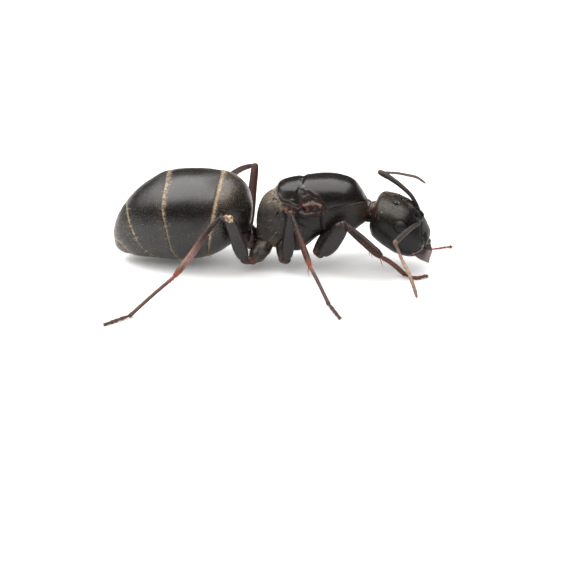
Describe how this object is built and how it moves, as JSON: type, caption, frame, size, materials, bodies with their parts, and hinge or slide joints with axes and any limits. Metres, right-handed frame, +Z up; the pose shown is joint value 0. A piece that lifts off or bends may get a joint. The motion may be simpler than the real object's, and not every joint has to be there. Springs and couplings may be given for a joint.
{
  "type": "ant queen",
  "caption": "Life-size carpenter-ant queen standing on six legs, head lowered, with elbowed feelers and a large banded abdomen.",
  "frame": {"origin": "on the floor, under the middle of the box round the whole animal", "axes": "+X towards the head, +Y to the ant's own left, +Z up"},
  "size_m": [0.0182, 0.0194, 0.0053],
  "materials": {
    "head_shell": "dull black-brown shell, finely punctured",
    "eye": "dark grey, fine facets",
    "jaw": "red-brown, smooth",
    "scape": "grey-brown",
    "funiculus": "light reddish brown, short down",
    "thorax_shell": "satin black-brown with short grey hair",
    "thorax_back": "smooth glossy black",
    "propodeum_shell": "dull, with golden-grey down",
    "petiole_shell": "dark red-brown",
    "gaster_shell": "satin black-brown with golden down and pale bands",
    "leg_upper": "satin dark grey-brown",
    "tibia": "dark red-brown, redder below",
    "tarsus": "reddish brown"
  },
  "bodies": {
    "root": {"coxa_left_fore": "leg_upper", "coxa_left_hind": "leg_upper", "coxa_left_mid": "leg_upper", "coxa_right_fore": "leg_upper", "coxa_right_hind": "leg_upper", "coxa_right_mid": "leg_upper", "eye_left": "eye", "eye_right": "eye", "femur_left_fore": "leg_upper", "femur_left_hind": "leg_upper", "femur_left_mid": "leg_upper", "femur_right_fore": "leg_upper", "femur_right_hind": "leg_upper", "femur_right_mid": "leg_upper", "funiculus_left": "funiculus", "funiculus_right": "funiculus", "gaster_1": "gaster_shell", "gaster_2": "gaster_shell", "gaster_3": "gaster_shell", "gaster_4": "gaster_shell", "gaster_5": "gaster_shell", "head": "head_shell", "mandible_left": "jaw", "mandible_right": "jaw", "mesopleuron": "thorax_shell", "mesoscutum": "thorax_back", "petiole": "petiole_shell", "pronotum": "thorax_shell", "propodeum": "propodeum_shell", "scape_left": "scape", "scape_right": "scape", "scutellum": "thorax_back", "tarsus_left_fore": "tarsus", "tarsus_left_hind": "tarsus", "tarsus_left_mid": "tarsus", "tarsus_right_fore": "tarsus", "tarsus_right_hind": "tarsus", "tarsus_right_mid": "tarsus", "tibia_left_fore": "tibia", "tibia_left_hind": "tibia", "tibia_left_mid": "tibia", "tibia_right_fore": "tibia", "tibia_right_hind": "tibia", "tibia_right_mid": "tibia"}
  },
  "joints": []
}
